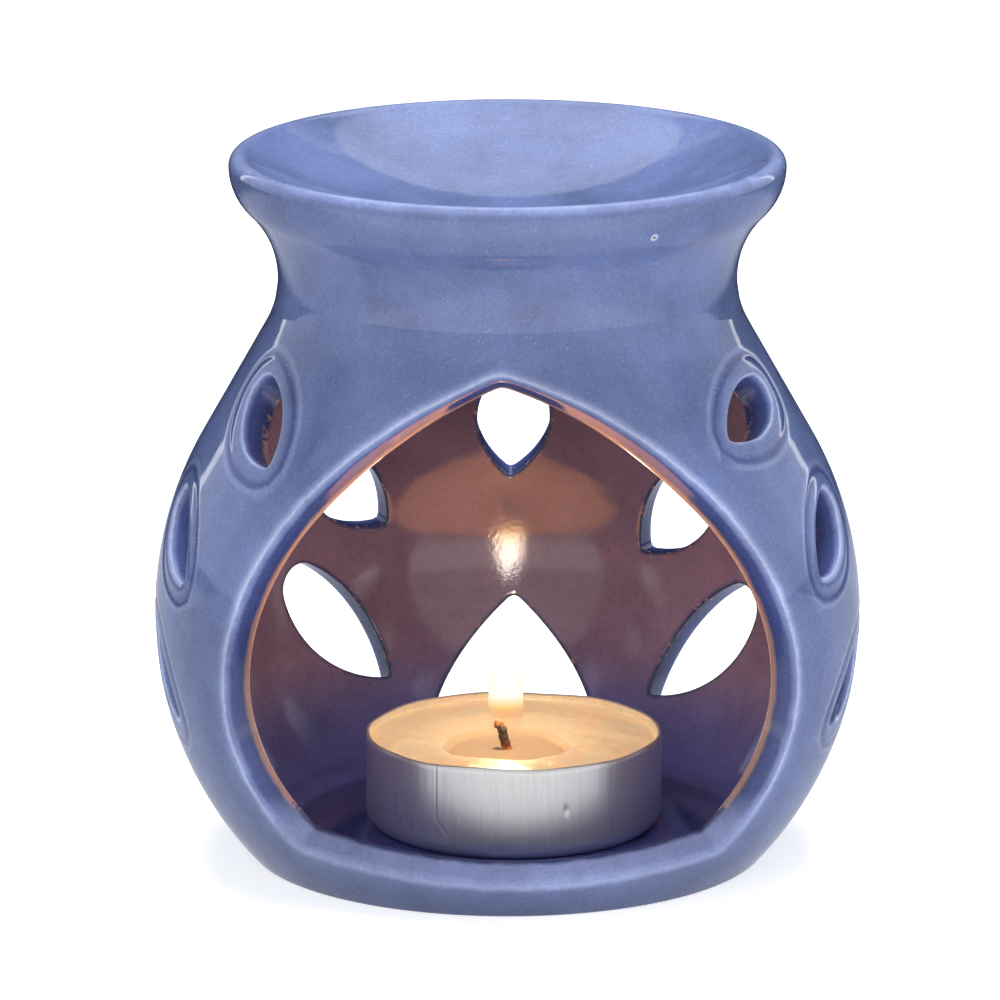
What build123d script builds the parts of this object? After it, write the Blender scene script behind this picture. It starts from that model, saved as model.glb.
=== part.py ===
"""Essential oil burner: a pierced ceramic pot with an oil dish on its neck and a tealight inside.

Lengths are in millimetres. The origin is the middle of the foot, on the table, with +Z up.
The arched mouth that the tealight goes in by faces -Y. Azimuths are in degrees round the pot,
0 at the front and positive towards +X.
"""
import os
from math import asin, cos, degrees, hypot, radians, sin, sqrt, tan

from build123d import *

# Pot wall, seen from outside: a lower and an upper belly arc, a straight shoulder, a hollow neck
belly_radius = 45.1
belly_height = 31.2
lower_belly_curve = 45.9
upper_belly_curve = 46.5
shoulder_lean = 29.5
neck_radius = 29.15
neck_curve = 12.7
wall = 4.2

# Foot and floor
floor_top = 4.6
floor_fillet = 4.0
foot_edge_round = 1.0

# Oil dish, luted on just under the narrowest place of the neck
seam_below_neck = 0.9
rim_radius = 35.3
lip_flare_curve = 7.4
lip_round = 1.6
dish_depth = 9.0
dish_thickness = 4.2
ceiling_fillet = 1.5

# Openings are cut square to the belly, along lines that meet on the axis at this height
cut_centre_height = 36.0
cut_overrun = 4.0
cut_depth = 12.0
mouth_cut_depth = 25.0
opening_edge_round = 0.9
edge_tolerance = 0.02

# Arched mouth, drawn on a flat sheet that touches the belly in front
mouth_azimuth = 0.7
mouth_half_width = 60.0
mouth_height = 97.0
mouth_corner_round = 3.0
mouth_apex_shares = (-0.03, 0.51)
mouth_left_shares = [
    (-0.25, 0.43),
    (-0.49, 0.33),
    (-0.85, 0.08),
    (-0.99, -0.19),
    (-0.93, -0.33),
    (-0.72, -0.475),
]
mouth_right_shares = [
    (0.25, 0.42),
    (0.51, 0.31),
    (0.83, 0.10),
    (1.0, -0.18),
    (0.95, -0.32),
    (0.72, -0.49),
]
mouth_sill_shares = (0.0, -0.387)

# Small arch at the back, drawn on a sheet that touches the belly behind
back_arch_azimuth = 178.7
back_arch_half_width = 14.5
back_arch_top_drop = 14.2
back_arch_bottom_drop = 38.0
back_arch_side_shares = (0.5, 0.36)
back_arch_corner_round = 2.0

# Leaf cut-outs: azimuth, height of the middle as a share of the seam height, lean from upright, and
# length and width as shares of the belly radius
leaf_tip_round = 0.8
leaf_widest_share = 0.56
leaf_head_share = 0.3
leaf_places_shares = {
    "left_high": (-60.5, 0.814, -47, 0.335, 0.170),
    "left_middle": (-74.5, 0.590, -50, 0.330, 0.144),
    "left_low": (-80.0, 0.337, -50, 0.378, 0.165),
    "right_high": (61.5, 0.833, 72, 0.335, 0.151),
    "right_middle": (71.0, 0.601, 55, 0.319, 0.163),
    "right_low": (78.5, 0.323, 62, 0.378, 0.165),
    "back_left_high": (-148.7, 0.525, 48, 0.399, 0.210),
    "back_right_high": (146.3, 0.488, -42, 0.420, 0.221),
    "back_left_low": (-144.8, 0.262, 40, 0.522, 0.233),
    "back_right_low": (137.7, 0.235, -41, 0.532, 0.233),
    "back_top": (178.8, 0.654, -3, 0.420, 0.233),
}

# Tealight, standing on the floor a little in front of the middle
candle_x = 0.8
candle_y = -5.7
cup_radius = 19.0
cup_height = 12.3
cup_wall = 0.3
cup_corner = 2.5
cup_bead = 0.25
wax_gap = 0.05
wax_below_rim = 1.0
pool_below_rim = 2.6
pool_radius = 7.5
bank_radius = 12.5
sustainer_radius = 6.5
sustainer_thickness = 0.3
sustainer_neck_wall = 0.4
sustainer_neck_height = 4.0
wick_radius = 0.6
wick_above_pool = 1.8
wick_hook_radius = 1.0
wick_hook_turn = 110.0

# Neck arc, from the end of the belly arc and the lean of the shoulder
shoulder_radius = belly_radius - upper_belly_curve * (1 - cos(radians(shoulder_lean)))
shoulder_height = belly_height + upper_belly_curve * sin(radians(shoulder_lean))
neck_centre_radius = neck_radius + neck_curve
neck_reach = neck_curve * cos(radians(shoulder_lean))
shoulder_length = (shoulder_radius + neck_reach - neck_centre_radius) / sin(radians(shoulder_lean))
shoulder_rise = shoulder_length * cos(radians(shoulder_lean))
neck_height = shoulder_height + shoulder_rise + neck_curve * sin(radians(shoulder_lean))
seam_height = neck_height - seam_below_neck

# Lip and bowl: the flare arc is tangent to the neck arc, and the lip round to the flare and the bowl
flare_reach = neck_centre_radius - rim_radius + lip_flare_curve
flare_rise = sqrt((neck_curve + lip_flare_curve) ** 2 - flare_reach**2)
flare_turn = degrees(asin(flare_rise / (neck_curve + lip_flare_curve)))
lip_centre_radius = rim_radius - lip_round
lip_centre_height = neck_height + flare_rise
bowl_drop = dish_depth - lip_round
bowl_curve = (lip_centre_radius**2 + bowl_drop**2 - lip_round**2) / (2 * dish_depth)
bowl_centre_height = lip_centre_height - bowl_drop + bowl_curve
bowl_turn = degrees(asin(lip_centre_radius / (bowl_curve + lip_round)))

# Sheets that the cutters start and end on, as shares of the way out to the belly
cut_near = 1 - cut_depth / belly_radius
mouth_cut_near = 1 - mouth_cut_depth / belly_radius
cut_far = 1 + cut_overrun / belly_radius


def outer_radius(height):
    """Radius of the outside of the pot at a height, on the belly, the shoulder or the neck."""
    if height < belly_height:
        return belly_radius - lower_belly_curve + sqrt(lower_belly_curve**2 - (belly_height - height) ** 2)
    if height < shoulder_height:
        return belly_radius - upper_belly_curve + sqrt(upper_belly_curve**2 - (height - belly_height) ** 2)
    if height < shoulder_height + shoulder_rise:
        return shoulder_radius - (height - shoulder_height) * tan(radians(shoulder_lean))
    return neck_centre_radius - sqrt(neck_curve**2 - (neck_height - height) ** 2)


def pot_wall_line(inset, bottom):
    """Draw the pot wall from a bottom height up to the seam, moved in by inset, and return its two ends."""
    belly = (belly_radius - inset, belly_height)
    low_curve = lower_belly_curve - inset
    high_curve = upper_belly_curve - inset
    hollow_curve = neck_curve + inset
    low_turn = degrees(asin((belly_height - bottom) / low_curve))
    seam_turn = degrees(asin(seam_below_neck / hollow_curve))
    low = JernArc(start=belly, tangent=(0, -1), radius=low_curve, arc_size=-low_turn)
    high = JernArc(start=belly, tangent=(0, 1), radius=high_curve, arc_size=shoulder_lean)
    shoulder = PolarLine(start=high @ 1, length=shoulder_length, direction=high % 1)
    neck = JernArc(
        start=shoulder @ 1, tangent=shoulder % 1, radius=hollow_curve, arc_size=seam_turn - shoulder_lean
    )
    return low @ 1, neck @ 1


def neck_line(inset):
    """Draw the neck from the seam up to where the lip flares, moved in by inset."""
    curve = neck_curve + inset
    seam_turn = asin(seam_below_neck / curve)
    start = (neck_centre_radius - curve * cos(seam_turn), seam_height)
    heading = (-sin(seam_turn), cos(seam_turn))
    return JernArc(start=start, tangent=heading, radius=curve, arc_size=-degrees(seam_turn) - flare_turn)


def is_outer_rim(edge):
    """Tell whether an edge is where an opening comes out of the pot, and not one of the wall's own arcs."""
    places = [edge @ share for share in (0, 0.5, 1)]
    gaps = [abs(hypot(place.X, place.Y) - outer_radius(place.Z)) for place in places]
    return edge.geom_type != GeomType.CIRCLE and max(gaps) < edge_tolerance


def sheet_plane(azimuth, height, lean, share):
    """Flat sheet across the sight line from the cut centre to the belly, at a share of the way out."""
    reach = outer_radius(height)
    turn, tilt = radians(azimuth), radians(lean)
    way = Vector(reach * sin(turn), -reach * cos(turn), height - cut_centre_height)
    right = Vector(cos(turn), sin(turn), 0)
    up = way.normalized().cross(right)
    middle = Vector(0, 0, cut_centre_height) + way * share
    return Plane(origin=middle, x_dir=right * cos(tilt) - up * sin(tilt), z_dir=way)


def draw_mouth(scale):
    """Pointed arch of the mouth: one smooth curve on each side and a sill that rises in the middle."""
    width, height = mouth_half_width * scale, mouth_height * scale
    apex = (mouth_apex_shares[0] * width, mouth_apex_shares[1] * height)
    left = [apex] + [(x * width, z * height) for x, z in mouth_left_shares]
    right = [apex] + [(x * width, z * height) for x, z in mouth_right_shares]
    Spline(*left)
    Spline(*right)
    ThreePointArc(left[-1], (mouth_sill_shares[0] * width, mouth_sill_shares[1] * height), right[-1])


def draw_back_arch(scale):
    """Small pointed arch: two bowed sides on a flat sill."""
    width = back_arch_half_width * scale
    top = -back_arch_top_drop * scale
    bottom = -back_arch_bottom_drop * scale
    bow = (back_arch_side_shares[0] * width, top + back_arch_side_shares[1] * (bottom - top))
    ThreePointArc((0, top), bow, (width, bottom))
    Line((width, bottom), (-width, bottom))
    ThreePointArc((-width, bottom), (-bow[0], bow[1]), (0, top))


def draw_leaf(length, width):
    """Leaf with a point at the bottom and a round head."""
    foot = (0, -length / 2)
    tip = (0, length / 2)
    widest = (width / 2, foot[1] + leaf_widest_share * length)
    head = (leaf_head_share * width, tip[1] - leaf_head_share * width / 2)
    ThreePointArc(foot, widest, head)
    ThreePointArc(head, tip, (-head[0], head[1]))
    ThreePointArc((-head[0], head[1]), (-widest[0], widest[1]), foot)


# Pot: one slip-cast shell with a floor, an arched mouth, a small arch behind and eleven leaves
with BuildPart() as burner_body:
    with BuildSketch(Plane.XZ):
        with BuildLine():
            foot_end, seam_end = pot_wall_line(0, 0)
            Polyline(seam_end, (0, seam_height), (0, 0), foot_end)
        make_face()
    revolve(axis=Axis.Z)
    fillet(faces().sort_by(Axis.Z)[0].edges(), foot_edge_round)
    with BuildSketch(Plane.XZ):
        with BuildLine():
            floor_end, ceiling_end = pot_wall_line(wall, floor_top)
            Polyline(ceiling_end, (0, seam_height), (0, floor_top), floor_end)
        make_face()
        fillet(vertices().group_by(Axis.Y)[0].sort_by(Axis.X)[-1], floor_fillet)
    revolve(axis=Axis.Z, mode=Mode.SUBTRACT)

    # each opening is a loft between two sheets, one inside the wall and one outside it
    for share in (mouth_cut_near, cut_far):
        with BuildSketch(sheet_plane(mouth_azimuth, cut_centre_height, 0, share)) as sheet:
            with BuildLine():
                draw_mouth(share)
            make_face()
            corners = sheet.vertices().sort_by(Axis.Y)
            fillet(corners[:2] + corners[-1:], mouth_corner_round * share)
    loft(ruled=True, mode=Mode.SUBTRACT)
    fillet(edges(Select.LAST).filter_by(is_outer_rim), opening_edge_round)
    for share in (cut_near, cut_far):
        with BuildSketch(sheet_plane(back_arch_azimuth, cut_centre_height, 0, share)) as sheet:
            with BuildLine():
                draw_back_arch(share)
            make_face()
            fillet(sheet.vertices(), back_arch_corner_round * share)
    loft(ruled=True, mode=Mode.SUBTRACT)
    fillet(edges(Select.LAST).filter_by(is_outer_rim), opening_edge_round)
    for azimuth, height_share, lean, length_share, width_share in leaf_places_shares.values():
        for share in (cut_near, cut_far):
            with BuildSketch(sheet_plane(azimuth, height_share * seam_height, lean, share)) as sheet:
                with BuildLine():
                    draw_leaf(length_share * belly_radius * share, width_share * belly_radius * share)
                make_face()
                fillet(sheet.vertices(), leaf_tip_round * share)
        loft(ruled=True, mode=Mode.SUBTRACT)
        fillet(edges(Select.LAST).filter_by(is_outer_rim), opening_edge_round)
burner_body.part.label = "burner_body"

# Oil dish: a shallow round bowl with a flared lip, luted onto the neck
with BuildPart() as oil_dish:
    with BuildSketch(Plane.XZ):
        with BuildLine():
            neck = neck_line(0)
            flare = JernArc(start=neck @ 1, tangent=neck % 1, radius=lip_flare_curve, arc_size=flare_turn)
            lip = JernArc(start=flare @ 1, tangent=flare % 1, radius=lip_round, arc_size=90 + bowl_turn)
            bowl = JernArc(start=lip @ 1, tangent=lip % 1, radius=bowl_curve, arc_size=-bowl_turn)
            Polyline(bowl @ 1, (0, seam_height), neck @ 0)
        make_face()
    revolve(axis=Axis.Z)
    with BuildSketch(Plane.XZ) as hollow:
        with BuildLine():
            inside = neck_line(wall)
            Polyline(inside @ 1, (0, (inside @ 1).Y), (0, seam_height), inside @ 0)
        make_face()
        with Locations((0, bowl_centre_height)):
            Circle(bowl_curve + dish_thickness, mode=Mode.SUBTRACT)
        fillet(hollow.vertices().sort_by(Axis.Y)[-1], ceiling_fillet)
    revolve(axis=Axis.Z, mode=Mode.SUBTRACT)
oil_dish.part.label = "oil_dish"

# The tealight's pieces stand round its own axis, on the floor of the pot
candle_base = Plane((candle_x, candle_y, floor_top))
candle_section = Plane(origin=candle_base.origin, x_dir=(1, 0, 0), z_dir=(0, -1, 0))
candle_axis = Axis(candle_base.origin, (0, 0, 1))
wax_radius = cup_radius - cup_wall - wax_gap
wax_height = cup_height - wax_below_rim
pool_height = cup_height - pool_below_rim

# Cup: drawn aluminium with a flat bottom, a round corner and a rolled rim
with BuildPart() as candle_cup:
    with BuildSketch(candle_base):
        Circle(cup_radius)
    extrude(amount=cup_height)
    fillet(edges().sort_by(Axis.Z)[0], cup_corner)
    offset(amount=-cup_wall, openings=faces().sort_by(Axis.Z)[-1])
    with BuildSketch(candle_section):
        with Locations((cup_radius - cup_bead, cup_height - cup_bead)):
            Circle(cup_bead)
    revolve(axis=candle_axis)
candle_cup.part.label = "candle_cup"

# Sustainer: a tinned disc on the cup's floor with a neck crimped round the wick
with BuildPart() as wick_sustainer:
    with BuildSketch(candle_base.offset(cup_wall)):
        Circle(sustainer_radius)
    extrude(amount=sustainer_thickness)
    with BuildSketch(candle_base.offset(cup_wall)):
        Circle(wick_radius + sustainer_neck_wall)
    extrude(amount=sustainer_neck_height)
    with BuildSketch(candle_base.offset(cup_wall)):
        Circle(wick_radius)
    extrude(amount=sustainer_neck_height, mode=Mode.SUBTRACT)
wick_sustainer.part.label = "wick_sustainer"

# Wick: braided cotton, straight up from the sustainer and bent over to -X where it burns
with BuildPart() as wick:
    with BuildLine(candle_section):
        stem = Line((0, cup_wall), (0, pool_height + wick_above_pool))
        JernArc(start=stem @ 1, tangent=(0, 1), radius=wick_hook_radius, arc_size=wick_hook_turn)
    with BuildSketch(candle_base.offset(cup_wall)):
        Circle(wick_radius)
    sweep()
wick.part.label = "wick"

# Wax: fills the cup, with a round melt pool in the middle and a bank up to the rim
with BuildPart() as wax:
    with BuildSketch(candle_section) as section:
        with BuildLine():
            pool = Line((0, pool_height), (pool_radius, pool_height))
            bank = Spline(pool @ 1, (bank_radius, wax_height), tangents=[(1, 0), (1, 0)])
            Polyline(bank @ 1, (wax_radius, wax_height), (wax_radius, cup_wall), (0, cup_wall), pool @ 0)
        make_face()
        fillet(section.vertices().group_by(Axis.Y)[0].sort_by(Axis.X)[-1], cup_corner - cup_wall)
    revolve(axis=candle_axis)
    add(wick_sustainer.part, mode=Mode.SUBTRACT)
    add(wick.part, mode=Mode.SUBTRACT)
wax.part.label = "wax"

os.makedirs("parts", exist_ok=True)
for piece in (burner_body, oil_dish, candle_cup, wax, wick_sustainer, wick):
    export_step(piece.part, f"parts/{piece.part.label}.step")
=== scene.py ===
from functools import partial
from math import asin, cos, pi, radians, sin, sqrt

import bpy
import numpy as np
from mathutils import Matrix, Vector
from mathutils.geometry import delaunay_2d_cdt


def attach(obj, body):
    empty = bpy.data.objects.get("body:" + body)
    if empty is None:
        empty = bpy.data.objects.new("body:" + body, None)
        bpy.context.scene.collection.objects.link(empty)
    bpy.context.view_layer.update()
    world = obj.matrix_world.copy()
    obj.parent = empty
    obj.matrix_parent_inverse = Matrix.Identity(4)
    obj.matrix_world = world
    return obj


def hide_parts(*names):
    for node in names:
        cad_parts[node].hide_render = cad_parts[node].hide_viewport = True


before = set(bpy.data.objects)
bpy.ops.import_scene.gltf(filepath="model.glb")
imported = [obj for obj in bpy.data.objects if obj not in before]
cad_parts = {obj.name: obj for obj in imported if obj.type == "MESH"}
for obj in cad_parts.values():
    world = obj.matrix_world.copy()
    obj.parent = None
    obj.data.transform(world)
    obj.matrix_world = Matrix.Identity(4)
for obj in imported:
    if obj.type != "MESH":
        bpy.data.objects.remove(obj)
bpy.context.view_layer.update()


# Pot: a slip-cast stoneware shell, one wall thick from the foot to the seam under the dish. The arched
# mouth, the small arch behind and the eleven leaves were cut through it while the clay was damp, and a
# groove was drawn round each leaf with a wet tool. It is glazed inside and out in one glossy blue.
MM = 0.001
belly_radius = 45.1
belly_height = 31.2
low_curve = 45.9
high_curve = 46.5
shoulder_lean = radians(29.5)
neck_radius = 29.15
neck_curve = 12.7
neck_centre = neck_radius + neck_curve
wall = 4.2
floor_top = 4.6
floor_fillet = 4.0
foot_round = 1.0
seam_below_neck = 0.9
cut_centre = np.array([0.0, 0.0, 36.0])
seam_azimuth = radians(105.0)
# The section attribute tells the glaze where it lies, from the plain inside to the plain outside
plain_inside = -12.0
plain_outside = 8.0

foot_turn = asin((belly_height - foot_round) / (low_curve - foot_round))
shoulder_radius = belly_radius - high_curve * (1 - cos(shoulder_lean))
shoulder_height = belly_height + high_curve * sin(shoulder_lean)
neck_reach = neck_curve * cos(shoulder_lean)
shoulder_length = (shoulder_radius + neck_reach - neck_centre) / sin(shoulder_lean)
shoulder_rise = shoulder_length * cos(shoulder_lean)
neck_height = shoulder_height + shoulder_rise + neck_curve * sin(shoulder_lean)


def bell(place, centre, width):
    """Bell curve exp(-((place - centre) / width)^2)."""
    return np.exp(-(((place - centre) / width) ** 2))


def arc(centre, radius, start, end, side=1, step=0.05):
    """Points and normals of an arc in the plane of radius and height, from start to end in radians.

    The point is centre + radius * (cos a, sin a), and the normal is side * (cos a, sin a).
    """
    angles = np.linspace(start, end, max(3, int(abs(end - start) * radius / step)))
    ways = np.stack([np.cos(angles), np.sin(angles)], 1)
    return np.hstack([np.array(centre) + radius * ways, side * ways])


def pot_meridian():
    """Outside of the pot from the foot to the seam, as rows of length along it, radius, height and normal."""
    low = arc((belly_radius - low_curve, belly_height), low_curve, -foot_turn, 0)
    high = arc((belly_radius - high_curve, belly_height), high_curve, 0, shoulder_lean)
    neck = arc((neck_centre, neck_height), neck_curve, pi + shoulder_lean,
               pi + asin(seam_below_neck / neck_curve), side=-1)
    shares = np.linspace(0, 1, 300)[1:-1, None]
    shoulder = high[-1] + shares * (neck[0] - high[-1])
    rows = np.vstack([low, high[1:], shoulder, neck])
    steps = np.hypot(np.diff(rows[:, 0]), np.diff(rows[:, 1]))
    return np.column_stack([np.concatenate([[0], np.cumsum(steps)]), rows])


meridian = pot_meridian()
pot_length = meridian[-1, 0]


def on_meridian(length):
    """Radius, height and normal of the outside of the pot at each length along the meridian."""
    return [np.interp(length, meridian[:, 0], meridian[:, column]) for column in (1, 2, 3, 4)]


def in_wall(azimuth, length, depth):
    """Place in the pot's wall: on the outside at an azimuth and length, then in along the normal by depth."""
    radius, height, out, up = on_meridian(length)
    radius = radius - depth * out
    return np.stack([radius * np.sin(azimuth), -radius * np.cos(azimuth), height - depth * up], -1)


def three_point_arc(start, middle, end, step=0.1):
    """Points on the circle through three points of the plane, from the first to the last."""
    a, b, c = (complex(*point) for point in (start, middle, end))
    turned = (c - a) / (b - a)
    centre = a + (b - a) * (turned - abs(turned) ** 2) / (2j * turned.imag)
    first, via, last = (np.angle((point - centre) / (a - centre)) for point in (a, b, c))
    if not min(0, last) <= via <= max(0, last):
        last -= 2 * pi * np.sign(last)
    angles = np.linspace(0, last, max(3, int(abs(last) * abs(a - centre) / step)))
    points = centre + (a - centre) * np.exp(1j * angles)
    return np.stack([points.real, points.imag], 1)


def smooth_line(points, step=0.1):
    """Natural cubic spline through a list of points, with the distance between them as its parameter."""
    points = np.array(points)
    knots = np.concatenate([[0], np.cumsum(np.hypot(*np.diff(points, axis=0).T))])
    gaps = np.diff(knots)
    count = len(knots)
    matrix = np.eye(count)
    slopes = np.zeros((count, 2))
    for row in range(1, count - 1):
        matrix[row, row - 1:row + 2] = gaps[row - 1], 2 * (gaps[row - 1] + gaps[row]), gaps[row]
        after = (points[row + 1] - points[row]) / gaps[row]
        before = (points[row] - points[row - 1]) / gaps[row - 1]
        slopes[row] = 6 * (after - before)
    bends = np.linalg.solve(matrix, slopes)
    at = np.linspace(0, knots[-1], int(knots[-1] / step))
    span = np.clip(np.searchsorted(knots, at) - 1, 0, count - 2)
    gap, from_start, to_end = gaps[span, None], (at - knots[span])[:, None], (knots[span + 1] - at)[:, None]
    curve = (bends[span] * to_end**3 + bends[span + 1] * from_start**3) / (6 * gap)
    straight = (points[span] / gap - bends[span] * gap / 6) * to_end
    return curve + straight + (points[span + 1] / gap - bends[span + 1] * gap / 6) * from_start


def spaced(outline, spacing):
    """The same closed outline with points at equal distances of about the spacing."""
    closed = np.vstack([outline, outline[:1]])
    lengths = np.concatenate([[0], np.cumsum(np.linalg.norm(np.diff(closed, axis=0), axis=1))])
    count = max(12, int(round(lengths[-1] / spacing)))
    at = np.arange(count) * lengths[-1] / count
    return np.stack([np.interp(at, lengths, column) for column in closed.T], 1)


def rounded(outline, reach, spacing=0.1):
    """Closed outline smoothed by a bell-shaped average of the given reach, which rounds its corners."""
    even = spaced(outline, spacing)
    waves = np.fft.fftfreq(len(even), d=spacing)[:, None]
    bell = np.exp(-2 * (pi * waves * reach) ** 2)
    return np.fft.ifft(np.fft.fft(even, axis=0) * bell, axis=0).real


def leaf_outline(length, width):
    """Leaf with a point at the bottom and a round head: two arcs on each side of its middle line."""
    foot, tip = (0, -length / 2), (0, length / 2)
    widest = (width / 2, foot[1] + 0.56 * length)
    head = (0.3 * width, tip[1] - 0.15 * width)
    return np.vstack([
        three_point_arc(foot, widest, head)[:-1],
        three_point_arc(head, tip, (-head[0], head[1]))[:-1],
        three_point_arc((-head[0], head[1]), (-widest[0], widest[1]), foot)[:-1],
    ])


def mouth_outline():
    """Pointed arch: one smooth curve down each side, bulging at the belly, and a sill that rises a little."""
    half_width, height = 60.0, 97.0
    apex = (-0.03, 0.51)
    left = [apex, (-0.25, 0.43), (-0.49, 0.33), (-0.85, 0.08), (-0.99, -0.19), (-0.93, -0.33),
            (-0.72, -0.475)]
    right = [apex, (0.25, 0.42), (0.51, 0.31), (0.83, 0.10), (1.0, -0.18), (0.95, -0.32), (0.72, -0.49)]
    size = np.array([half_width, height])
    sides = [smooth_line(np.array(side) * size) for side in (left, right)]
    sill = three_point_arc(sides[1][-1], (0, -0.387 * height), sides[0][-1])
    return np.vstack([sides[1], sill[1:-1], sides[0][::-1][:-1]])


def back_arch_outline():
    """Small pointed arch with bowed sides on a flat sill."""
    half_width, top, bottom = 14.5, -14.2, -38.0
    bow = (0.5 * half_width, top + 0.36 * (bottom - top))
    side = three_point_arc((0, top), bow, (half_width, bottom))
    sill = np.array([(share * half_width, bottom) for share in np.linspace(0.98, -0.98, 290)])
    return np.vstack([side, sill, (side * (-1, 1))[::-1][:-1]])


def cut_through(outline, azimuth, height, lean):
    """Outline on a flat sheet that touches the pot, carried along sight lines to the middle of the wall.

    The sight lines meet at the cut centre, and halving finds where each crosses the middle of the wall.
    Returns the azimuth and the length along the meridian.
    """
    azimuth, lean = radians(azimuth), radians(lean)
    reach = np.interp(height, meridian[:, 2], meridian[:, 1])
    way = np.array([reach * sin(azimuth), -reach * cos(azimuth), height - cut_centre[2]])
    right = np.array([cos(azimuth), sin(azimuth), 0.0])
    up = np.cross(way / np.linalg.norm(way), right)
    across, along = right * cos(lean) - up * sin(lean), right * sin(lean) + up * cos(lean)
    sight = way + outline[:, :1] * across + outline[:, 1:] * along
    mid_radius, mid_height = (meridian[:, 1:3] - wall / 2 * meridian[:, 3:]).T
    near, far = np.full(len(sight), 0.3), np.full(len(sight), 1.5)
    for _ in range(40):
        share = (near + far) / 2
        place = cut_centre + sight * share[:, None]
        outside = np.hypot(place[:, 0], place[:, 1]) > np.interp(place[:, 2], mid_height, mid_radius)
        far = np.where(outside, share, far)
        near = np.where(outside, near, share)
    turned = np.arctan2(place[:, 0], -place[:, 1])
    turned = np.where(turned > seam_azimuth, turned - 2 * pi, turned)
    return np.stack([turned, np.interp(place[:, 2], mid_height, meridian[:, 0])], 1)


# Leaves: azimuth, height, lean from upright, length and width
leaves = [
    (-60.5, 60.3, -47, 15.1, 7.7), (-74.5, 43.7, -50, 14.9, 6.5), (-80.0, 25.0, -50, 17.0, 7.5),
    (61.5, 61.7, 72, 15.1, 6.8), (71.0, 44.5, 55, 14.4, 7.4), (78.5, 23.9, 62, 17.0, 7.5),
    (-148.7, 38.9, 48, 18.0, 9.5), (146.3, 36.1, -42, 19.0, 10.0),
    (-144.8, 19.4, 40, 23.5, 10.5), (137.7, 17.4, -41, 24.0, 10.5), (178.8, 48.4, -3, 19.0, 10.5),
]
openings = [cut_through(rounded(mouth_outline(), 1.2), 0.7, cut_centre[2], 0),
            cut_through(rounded(back_arch_outline(), 0.8), 178.7, cut_centre[2], 0)]
openings += [cut_through(rounded(leaf_outline(length, width), 0.45), azimuth, height, lean)
             for azimuth, height, lean, length, width in leaves]


def signed_area(loop):
    """Twice the area of a closed outline, above zero where it runs anticlockwise."""
    return np.sum(loop[:, 0] * np.roll(loop[:, 1], -1) - np.roll(loop[:, 0], -1) * loop[:, 1])


def edge_offset(loop, distance):
    """Outline on the pot moved away from its opening by a distance on the surface, square to its own run."""
    radius = on_meridian(loop[:, 1])[0]
    run = np.roll(loop, -1, 0) - np.roll(loop, 1, 0)
    across, up = run[:, 0] * radius, run[:, 1]
    size = np.hypot(across, up)
    side = np.sign(signed_area(loop)) * distance
    return loop + np.stack([side * up / size / radius, -side * across / size], 1)


def even_on_pot(loop, spacing):
    """Closed outline on the pot with points at equal distances measured on its surface."""
    radius = on_meridian(loop[:, 1])[0].mean()
    scaled = spaced(loop * (radius, 1), spacing)
    return scaled / (radius, 1)


def distance_to(points, loops):
    """Distance in mm from each point of the outside to the nearest outline, and which outline that is."""
    places = in_wall(points[:, 0], points[:, 1], 0.0)
    nearest = np.full(len(points), np.inf)
    owner = np.zeros(len(points), int)
    for number, loop in enumerate(loops):
        rim = in_wall(*even_on_pot(loop, 0.3).T, 0.0)
        for part in np.array_split(np.arange(len(points)), len(points) // 4000 + 1):
            gap = np.sqrt(((places[part, None] - rim[None]) ** 2).sum(2).min(1))
            closer = gap < nearest[part]
            nearest[part] = np.where(closer, gap, nearest[part])
            owner[part] = np.where(closer, number, owner[part])
    return nearest, owner


def inside_loops(points, loops):
    """Whether each point lies inside any of the closed outlines, by counting the edges to its right."""
    inside = np.zeros(len(points), bool)
    for loop in loops:
        low, high = loop.min(0), loop.max(0)
        near = np.flatnonzero(((points > low) & (points < high)).all(1))
        start, end = loop, np.roll(loop, -1, 0)
        x, y = points[near, 0, None], points[near, 1, None]
        spans = (start[:, 1] > y) != (end[:, 1] > y)
        rise = np.where(end[:, 1] == start[:, 1], 1.0, end[:, 1] - start[:, 1])
        crossing = start[:, 0] + (y - start[:, 1]) * (end[:, 0] - start[:, 0]) / rise
        inside[near] |= (spans & (x < crossing)).sum(1) % 2 == 1
    return inside


# Radius at which the pot is unrolled, near the belly's
belly_about = 40.0


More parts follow.
